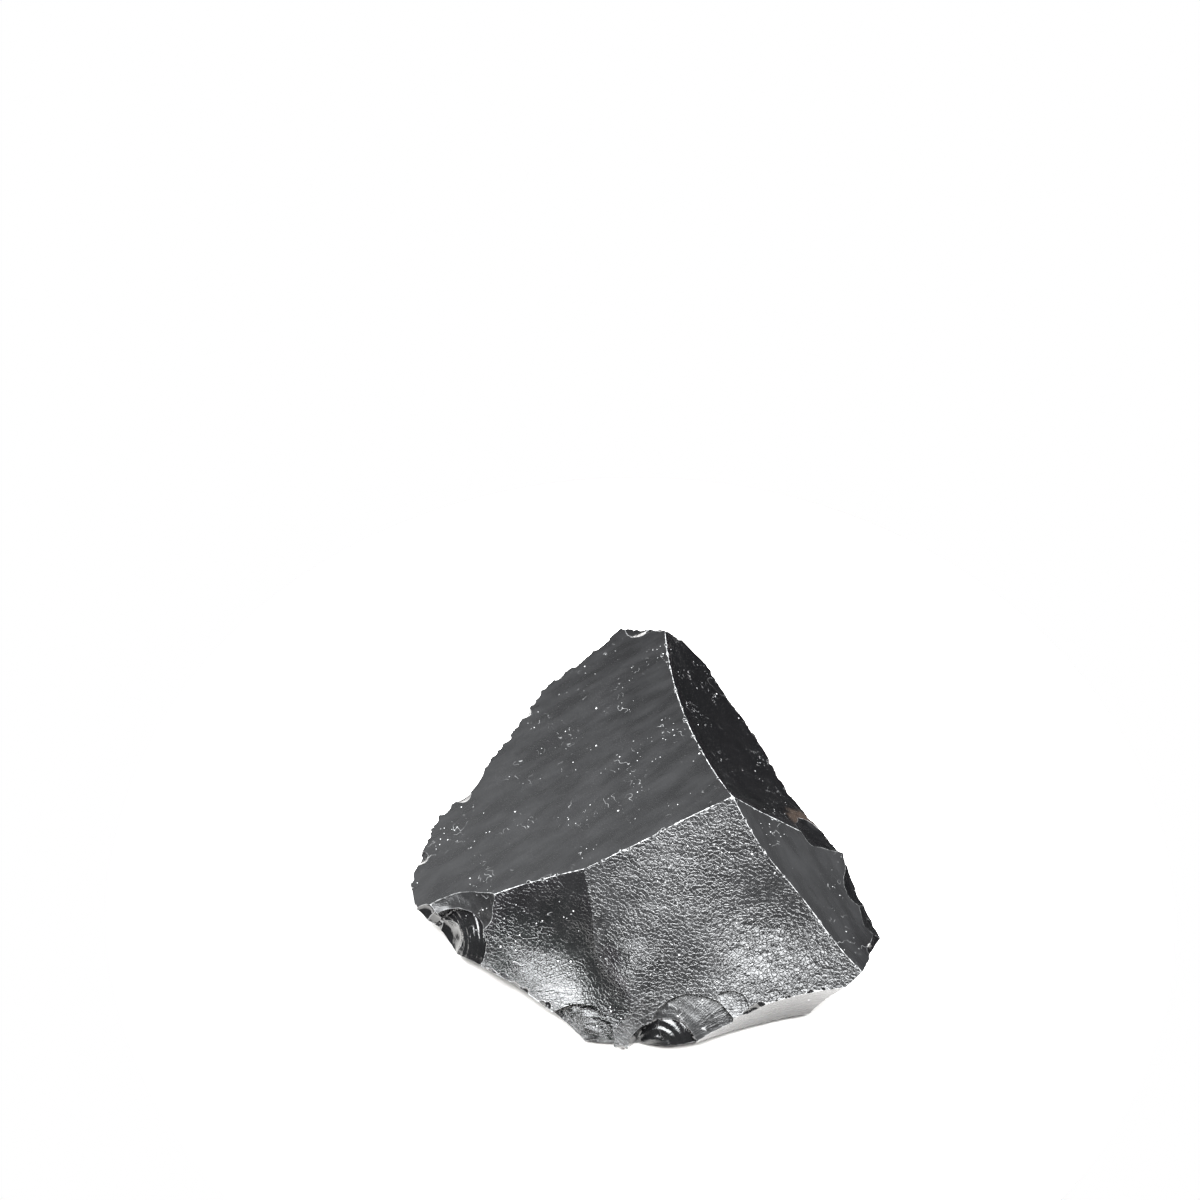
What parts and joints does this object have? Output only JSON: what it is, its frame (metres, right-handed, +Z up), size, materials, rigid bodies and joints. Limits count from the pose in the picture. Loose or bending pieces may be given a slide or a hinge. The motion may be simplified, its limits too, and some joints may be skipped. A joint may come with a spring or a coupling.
{
  "type": "obsidian chunk",
  "caption": "Rough chunk of black volcanic glass with smooth conchoidal faces, sharp ridges and chipped edges, lying on a broad flat face.",
  "frame": {"origin": "bottom centre of the chunk's box, on the flat face that it rests on", "axes": "+Z up, away from the resting face, +X to the right, -Y towards the viewer"},
  "size_m": [0.0768, 0.0788, 0.03],
  "materials": {
    "obsidian": "gloss"
  },
  "bodies": {
    "root": {"chunk": "obsidian"}
  },
  "joints": []
}
